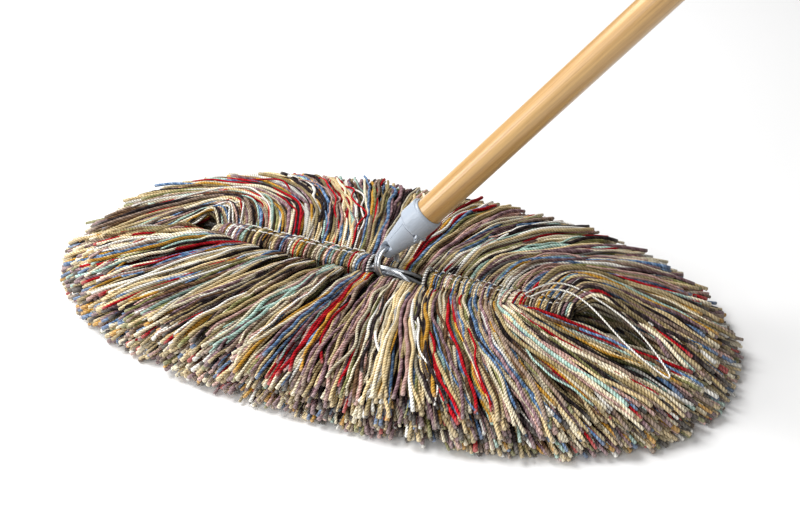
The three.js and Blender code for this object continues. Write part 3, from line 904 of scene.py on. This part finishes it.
def grow_sole():
    """The underside: strands that lie flat on the floor."""
    for sign in (-1, 1):
        for level in SOLE_LEVELS:
            root = even_roots(SOLE_COUNT)
            n = len(root)
            side = np.full(n, float(sign))
            reach = 0.92 + rng.normal(size=n) * 0.03
            paths, t = strand_paths(root, side, np.ones(n), reach, np.zeros(n), SOLE_STEPS, 0.6)
            paths[:, :, 1] -= sign * FOOT * (1 - smoothstep(t, 0, 0.2))  # they meet along the middle
            height = level + rng.normal(size=(n, 1)) * 0.25 * MM
            paths[:, :, 2] = np.maximum(height, SOLE_RADIUS + 0.05 * MM)
            deal(paths, np.full(t.shape, SOLE_RADIUS), t, root, side, 0.0, 5)


grow_layers()
wrap_ridge()
grow_strays()
grow_loop()
grow_sole()

for name, strands in families.items():
    color, mate = (linear(code) for code in YARN_COLORS[name][:2])
    piece = strands.build("yarn_" + name)
    plain = plain_material("yarn_plain_" + name, color, 0.92)
    dress(piece, yarn_material("yarn_" + name, color, mate), plain)
    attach(piece, "mop_head")
    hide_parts(*YARN_NODES)


# ---- Sewing thread: fine stitches along the spine, and overlocked edges at the mouth ----
THREAD_SIDES, THREAD_TONE = 5, 0.7


def build_threads(name, color, groups, *replaced):
    """One piece of thread in one colour, from groups of (paths, radius)."""
    thread = Strands()
    for paths, radius in groups:
        ones = np.ones(paths.shape[:2])
        thread.add(paths, radius * ones, THREAD_TONE * ones, 0 * ones, THREAD_SIDES)
    piece = thread.build(name)
    dress(piece, thread_material(name, color), plain_material(name + "_plain", color, 0.75))
    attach(piece, "mop_head")
    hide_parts(*replaced)


def stitch_row(low, high, y, pitch, length, height, radius):
    """Short stitches along the spine at y, each dipping into the yarn at its ends, and their radius."""
    count = int((high - low) / pitch)
    start = low + (np.arange(count) + rng.uniform(0, 0.3, count)) * pitch
    way = np.linspace(0, 1, 6)[None]
    x = start[:, None] + length * way
    side_step = rng.normal(size=(count, 1)) * 0.5 * MM
    y_row = y + side_step + rng.normal(size=(count, 1)) * 0.4 * MM * way
    z = height + 0.7 * MM * np.sin(math.pi * way) + rng.normal(size=(count, 1)) * 0.15 * MM
    return np.stack([x, y_row, z + 0 * x], axis=2), radius


# The stitches of each half: their pitch, length, height and radius.
LEFT_STITCH = (6.0 * MM, 4.4 * MM, RIDGE_TOP + 0.3 * MM, 0.5 * MM)
RIGHT_STITCH = (5.2 * MM, 2.4 * MM, RIDGE_TOP - 2.9 * MM, 0.45 * MM)
# The rows: from where to where along the spine, and how far across it.
STITCH_ROWS = [
    (-SPINE_HALF + 22 * MM, MOUTH_LEFT - 3 * MM, -3.6 * MM, LEFT_STITCH),
    (-SPINE_HALF + 30 * MM, MOUTH_LEFT - 3 * MM, 3.0 * MM, LEFT_STITCH),
    (MOUTH_RIGHT + 4 * MM, SPINE_HALF - 6 * MM, -4.0 * MM, RIGHT_STITCH),
    (MOUTH_RIGHT + 4 * MM, SPINE_HALF - 6 * MM, 3.2 * MM, RIGHT_STITCH),
]
stitches = [stitch_row(low, high, y, *stitch) for low, high, y, stitch in STITCH_ROWS]
build_threads("spine_stitches", linear("f4f2ec"), stitches, "spine_thread_left", "spine_thread_right")

HEM_TURNS, HEM_STEPS = 15, 200
HEM_COIL, HEM_THREAD = 0.9 * MM, 0.48 * MM  # radius of the winding, and of the thread
HEM_ARCH = RIDGE_HALF_WIDTH - 1.8 * MM


def overlock(x, turn):
    """Thread wound round the mouth's edge at x, from front to back over the ridge."""
    way = np.linspace(0, 1, HEM_STEPS)
    along = math.pi * way
    wind = 2 * math.pi * (HEM_TURNS * way + turn)
    middle = RIDGE_TOP - RIDGE_HALF_WIDTH
    radius = HEM_ARCH + HEM_COIL * np.cos(wind)
    path = [x + HEM_COIL * np.sin(wind), -radius * np.cos(along), middle + radius * np.sin(along)]
    return np.stack(path, axis=1)[None]


HEMS = ("mouth_hem_left", "mouth_hem_right")
hem_middles = [(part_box(hem)[0].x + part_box(hem)[1].x) / 2 for hem in HEMS]
for label, color, turns in (("white", "f2f0ea", (0.0, 0.33)), ("black", "1c1b1e", (0.66,))):
    coils = [(overlock(x, turn), HEM_THREAD) for x in hem_middles for turn in turns]
    build_threads("hem_" + label, linear(color), coils, *HEMS)


# ---- The pocket: two sheets of cloth stretched over the wires, and the tape that joins their edges ----
THIN, FOLDED = 0.6 * MM, 1.0 * MM  # the cloth's thickness, and where it is folded over
ROUNDED = 0.7  # what is left of the thickness at an edge
HEM = 6 * MM
SLACK, RIPPLES = 0.12 * MM, (17 * MM, 11 * MM)  # how high the cloth ripples, and how finely each way
MOUTH_CUT = (56 * MM, 20 * MM)  # half length and half width of the opening in the upper sheet
TAPE_DEEP, TAPE_THICK, TAPE_TURN = 4 * MM, 0.8 * MM, 0.5 * MM
AROUND = 240  # steps round an oblong


def oblong(half_length, half_width):
    """Points round an oblong with half-round ends, spaced evenly."""
    straight, arc = 2 * (half_length - half_width), math.pi * half_width
    walked = np.linspace(0, 2 * (straight + arc), AROUND, endpoint=False)
    half, walked = np.divmod(walked, straight + arc)
    turn = np.clip((walked - straight) / half_width, 0, math.pi)
    x = np.minimum(walked, straight) - straight / 2 + half_width * np.sin(turn)
    return np.stack([x, -half_width * np.cos(turn)], axis=1) * (1 - 2 * half)[:, None]


def sweep(name, loops, closed):
    """A mesh through loops of points, back to its first loop if it is closed, or else ending in two faces."""
    faces = []
    for a in range(len(loops) if closed else len(loops) - 1):
        b = (a + 1) % len(loops)
        for j in range(AROUND):
            k = (j + 1) % AROUND
            faces.append((a * AROUND + j, b * AROUND + j, b * AROUND + k, a * AROUND + k))
    if not closed:
        faces.append(list(range(AROUND)))
        faces.append([(len(loops) - 1) * AROUND + j for j in reversed(range(AROUND))])
    mesh = bpy.data.meshes.new(name)
    mesh.from_pydata([tuple(p) for p in np.concatenate(loops)], [], faces)
    mesh.polygons.foreach_set("use_smooth", [True] * len(mesh.polygons))
    mesh.update(calc_edges=True)
    return add_object(name, mesh)


def add_cloth(name, node, mouth=None):
    """One side of the pocket, with a hem round the mouth where there is one. Each row is a line round it."""
    low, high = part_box(node)
    outer = oblong(high.x, high.y)
    rows = []
    if mouth:
        for share, thick in ((0, ROUNDED), (0.08, 1), (0.9, 1), (1, THIN / FOLDED)):
            rows.append((oblong(mouth[0] + HEM * share, mouth[1] + HEM * share), thick * FOLDED))
    inner = rows[-1][0] if mouth else outer * 0.02
    for share in np.linspace(0.06 if mouth else 0, 0.95, 15):
        rows.append((inner + (outer - inner) * share, THIN))
    rows += [(inner + (outer - inner) * 0.975, FOLDED), (outer, ROUNDED * FOLDED)]
    above, below = [], []
    for plan, thick in rows:
        slack = SLACK if thick == THIN else 0
        ripple = slack * np.sin(plan[:, 0] / RIPPLES[0]) * np.cos(plan[:, 1] / RIPPLES[1])
        middle = (low.z + high.z) / 2 + ripple
        above.append(np.column_stack([plan, middle + thick / 2]))
        below.append(np.column_stack([plan, middle - thick / 2]))
    return sweep(name, above + below[::-1], bool(mouth))


def add_tape():
    """The tape, a flat C in section, that wraps the edge of the pocket all round."""
    low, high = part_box("edge_binding")
    turn, thick = TAPE_TURN, TAPE_THICK
    inside = [(TAPE_DEEP, high.z - thick), (thick + turn, high.z - thick), (thick, high.z - thick - turn)]
    inside += [(thick, low.z + thick + turn), (thick + turn, low.z + thick), (TAPE_DEEP, low.z + thick)]
    outside = [(TAPE_DEEP, low.z), (turn, low.z), (0, low.z + turn)]
    outside += [(0, high.z - turn), (turn, high.z), (TAPE_DEEP, high.z)]
    loops = []
    for inward, z in reversed(outside + inside):
        plan = oblong(high.x - inward, high.y - inward)
        loops.append(np.column_stack([plan, np.full(AROUND, z)]))
    return sweep("pocket_tape", loops, True)


# The canvas colour is kept dark so that where the cloth shows through gaps in the yarn it reads as shade:
# partly painted shade, as its real colour is not known.
CANVAS = linear("a3967e")
canvas = cloth_material("backing_canvas", CANVAS)
canvas_plain = plain_material("canvas_plain", CANVAS, 0.9)

bottom_cloth = add_cloth("pocket_cloth_bottom", "bottom_backing")
top_cloth = add_cloth("pocket_cloth_top", "top_backing", MOUTH_CUT)
tape = add_tape()
for piece, node in ((bottom_cloth, "bottom_backing"), (top_cloth, "top_backing"), (tape, "edge_binding")):
    dress(piece, canvas, canvas_plain)
    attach(piece, "mop_head")
    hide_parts(node)


# ---- CAD pieces in their materials ----
DRESSES = {
    "steel": (steel_material(), plain_material("steel_plain", linear("cccfd2"), 0.25, 1.0)),
    "grey_plastic": (plastic_material(), plain_material("plastic_plain", linear("aeb9c5"), 0.38)),
    "pole_wood": (wood_material(), plain_material("wood_plain", linear("cf9f5d"), 0.4)),
}
for part in frame["record"]["subparts"]:
    if part["material_slot"] in DRESSES:
        dress(frame["nodes"][part["node"]], *DRESSES[part["material_slot"]])


# ---- Floor and light ----
FLOOR_HALF = 6
# Each light: where it stands, what it points at, the side of its square and its power in watts.
LIGHTS = {
    "key": ((-1.6, 0.2, 2.1), (0, 0, 0), 1.5, 84),
    "fill": ((-0.4, -2.4, 1.6), (0, 0, 0), 1.4, 26),
    "low": ((-1.9, -1.5, 0.75), (0.1, 0, 0.2), 1.0, 24),
}
SKY_STRENGTH = 0.22


def add_floor():
    mesh = bpy.data.meshes.new("floor")
    r = FLOOR_HALF
    mesh.from_pydata([(-r, -r, 0), (r, -r, 0), (r, r, 0), (-r, r, 0)], [], [(0, 1, 2, 3)])
    floor = add_object("floor", mesh)
    mesh.materials.append(plain_material("floor_white", grey(0.93), 0.7))


def add_light(name, place, target, size, power):
    data = bpy.data.lights.new(name, "AREA")
    data.size, data.energy = size, power
    light = add_object(name, data)
    light.location = place
    light.rotation_euler = (Vector(target) - Vector(place)).to_track_quat("-Z", "Y").to_euler()


def add_sky():
    world = bpy.data.worlds.new("studio")
    world.use_nodes = True
    background = world.node_tree.nodes["Background"]
    background.inputs["Color"].default_value = (1, 1, 1, 1)
    background.inputs["Strength"].default_value = SKY_STRENGTH
    bpy.context.scene.world = world


add_floor()
for name, settings in LIGHTS.items():
    add_light(name, *settings)
add_sky()
bpy.context.scene.view_settings.view_transform = "Standard"
